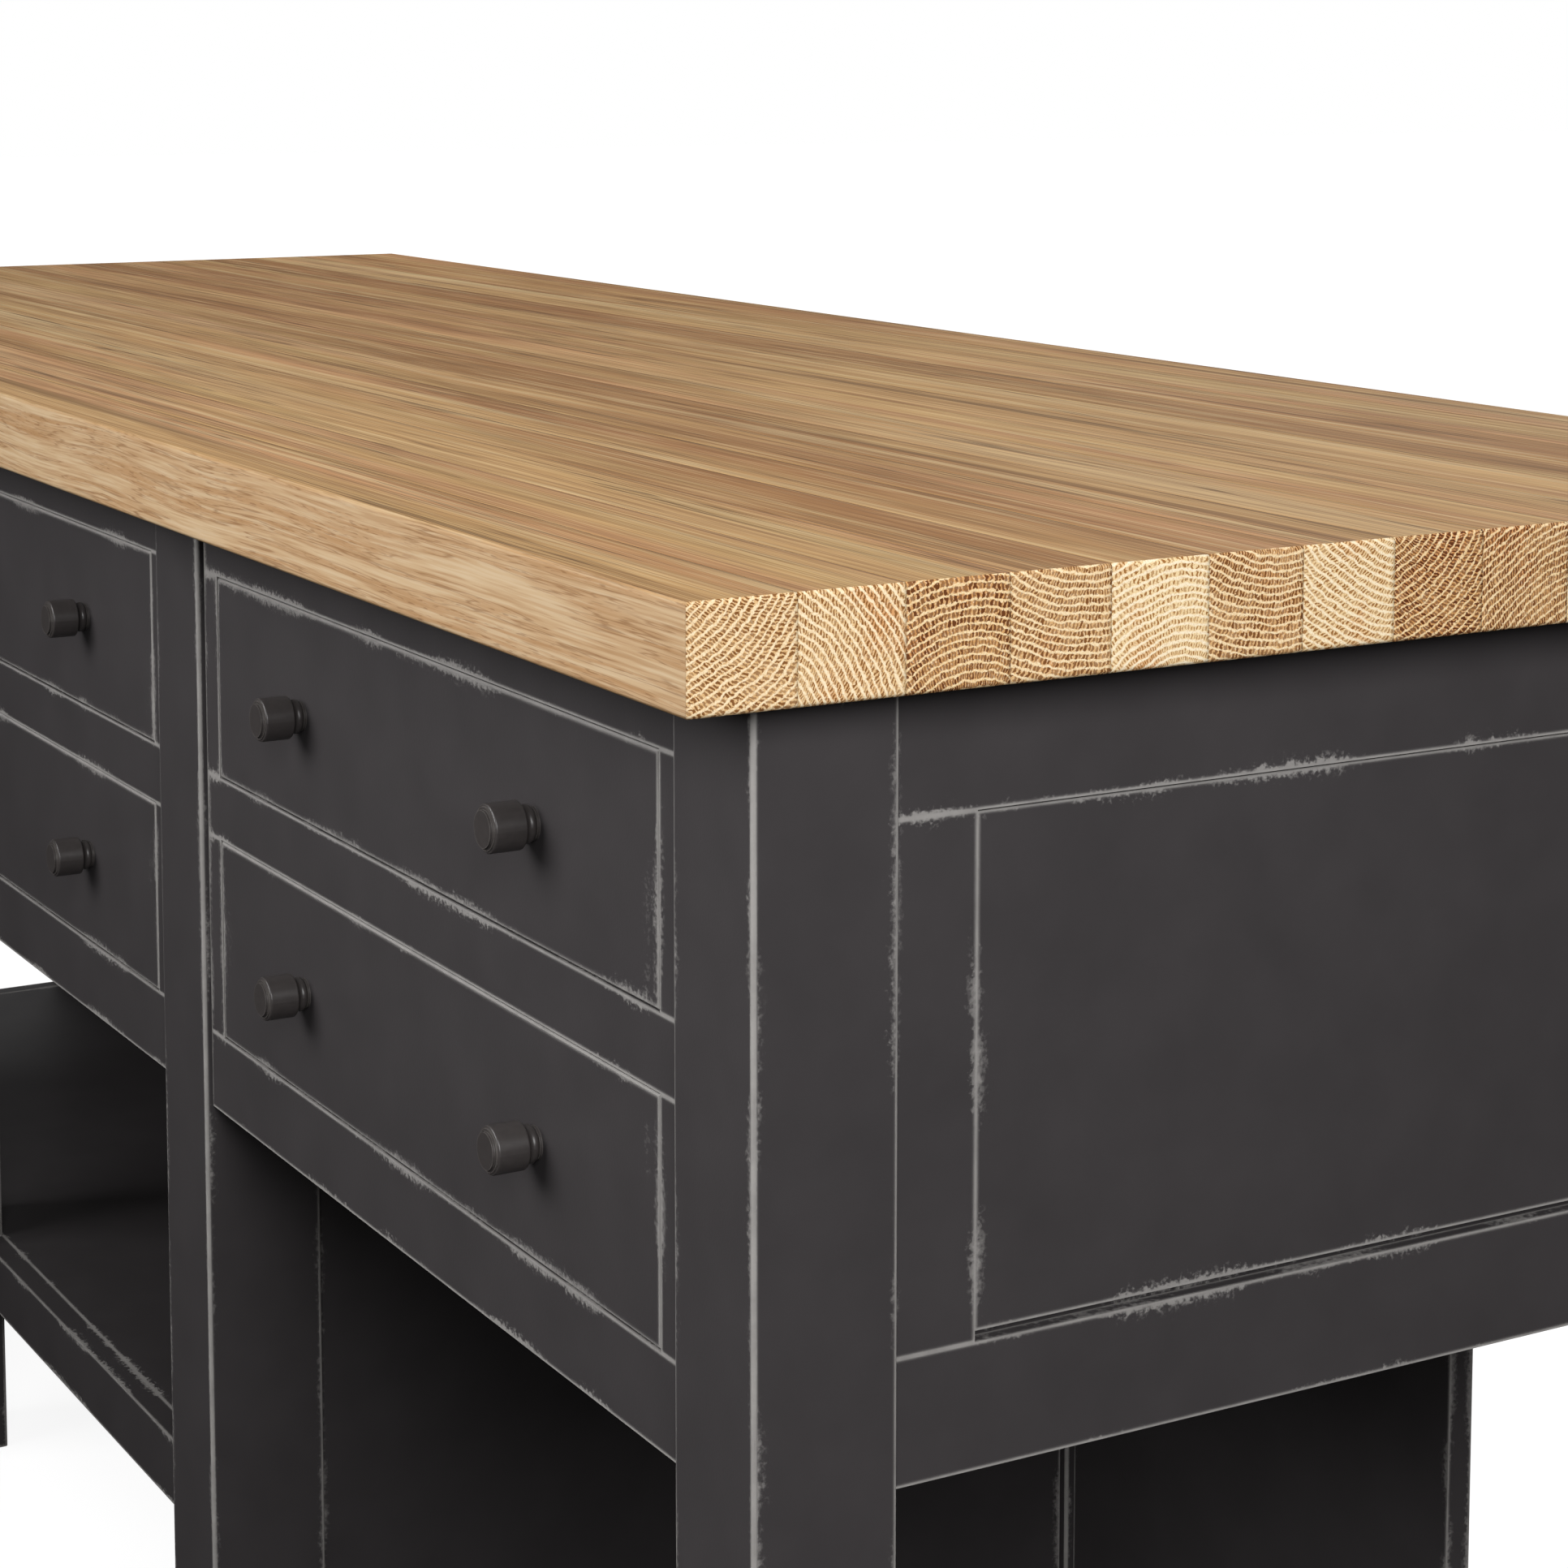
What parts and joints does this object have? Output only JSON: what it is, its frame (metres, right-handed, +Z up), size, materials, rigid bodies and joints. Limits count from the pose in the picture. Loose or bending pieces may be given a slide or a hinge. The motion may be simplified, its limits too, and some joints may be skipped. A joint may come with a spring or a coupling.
{
  "type": "kitchen island unit",
  "caption": "Long kitchen island with an oak butcher-block top on square painted legs, inset drawers with turned knobs, framed ends, an open end bay and a low shelf.",
  "frame": {"origin": "on the floor, under the middle of the unit", "axes": "+X along the length towards the open end bay, +Y from the drawers towards the rear, +Z up"},
  "size_m": [2.214, 0.81, 0.914],
  "materials": {
    "oak": "oiled oak staves",
    "charcoal_paint": "charcoal satin paint with rubbed edges",
    "knob_paint": "charcoal satin paint",
    "beech": "bare planed hardwood",
    "plywood": "bare sanded plywood"
  },
  "bodies": {
    "carcass": {"worktop_staves_odd": "oak", "worktop_staves_even": "oak", "legs_corner": "charcoal_paint", "legs_post": "charcoal_paint", "front_rails_top": "charcoal_paint", "front_rails_mid": "charcoal_paint", "front_rails_bottom": "charcoal_paint", "front_stiles": "charcoal_paint", "end_right_rails": "charcoal_paint", "end_right_stiles": "charcoal_paint", "end_right_panel": "charcoal_paint", "end_left_rails": "charcoal_paint", "end_left_stiles": "charcoal_paint", "end_left_panel": "charcoal_paint", "rear_rails": "charcoal_paint", "rear_stiles": "charcoal_paint", "rear_panels": "charcoal_paint", "rear_bearers": "beech", "partition_right": "charcoal_paint", "divider_left": "charcoal_paint", "spine_board": "charcoal_paint", "closer_board": "charcoal_paint", "runners": "beech", "guides": "beech", "kickers": "beech", "drawer_stops": "beech", "shelf_board": "charcoal_paint", "shelf_rails": "charcoal_paint", "shelf_cleats": "beech"},
    "drawer_left_upper": {"drawer_left_upper_front": "charcoal_paint", "drawer_left_upper_sides": "beech", "drawer_left_upper_back": "beech", "drawer_left_upper_bottom": "plywood", "drawer_left_upper_knobs": "knob_paint"},
    "drawer_left_lower": {"drawer_left_lower_front": "charcoal_paint", "drawer_left_lower_sides": "beech", "drawer_left_lower_back": "beech", "drawer_left_lower_bottom": "plywood", "drawer_left_lower_knobs": "knob_paint"},
    "drawer_centre_upper": {"drawer_centre_upper_front": "charcoal_paint", "drawer_centre_upper_sides": "beech", "drawer_centre_upper_back": "beech", "drawer_centre_upper_bottom": "plywood", "drawer_centre_upper_knobs": "knob_paint"},
    "drawer_centre_lower": {"drawer_centre_lower_front": "charcoal_paint", "drawer_centre_lower_sides": "beech", "drawer_centre_lower_back": "beech", "drawer_centre_lower_bottom": "plywood", "drawer_centre_lower_knobs": "knob_paint"},
    "drawer_right_upper": {"drawer_right_upper_front": "charcoal_paint", "drawer_right_upper_sides": "beech", "drawer_right_upper_back": "beech", "drawer_right_upper_bottom": "plywood", "drawer_right_upper_knobs": "knob_paint"},
    "drawer_right_lower": {"drawer_right_lower_front": "charcoal_paint", "drawer_right_lower_sides": "beech", "drawer_right_lower_back": "beech", "drawer_right_lower_bottom": "plywood", "drawer_right_lower_knobs": "knob_paint"}
  },
  "joints": [
    {"name": "drawer_left_upper_slide", "type": "slide", "parent": "carcass", "child": "drawer_left_upper", "axis": [0, -1, 0], "range_m": [0, 0.4]},
    {"name": "drawer_left_lower_slide", "type": "slide", "parent": "carcass", "child": "drawer_left_lower", "axis": [0, -1, 0], "range_m": [0, 0.4]},
    {"name": "drawer_centre_upper_slide", "type": "slide", "parent": "carcass", "child": "drawer_centre_upper", "axis": [0, -1, 0], "range_m": [0, 0.4]},
    {"name": "drawer_centre_lower_slide", "type": "slide", "parent": "carcass", "child": "drawer_centre_lower", "axis": [0, -1, 0], "range_m": [0, 0.4]},
    {"name": "drawer_right_upper_slide", "type": "slide", "parent": "carcass", "child": "drawer_right_upper", "axis": [0, -1, 0], "range_m": [0, 0.4]},
    {"name": "drawer_right_lower_slide", "type": "slide", "parent": "carcass", "child": "drawer_right_lower", "axis": [0, -1, 0], "range_m": [0, 0.4]}
  ]
}
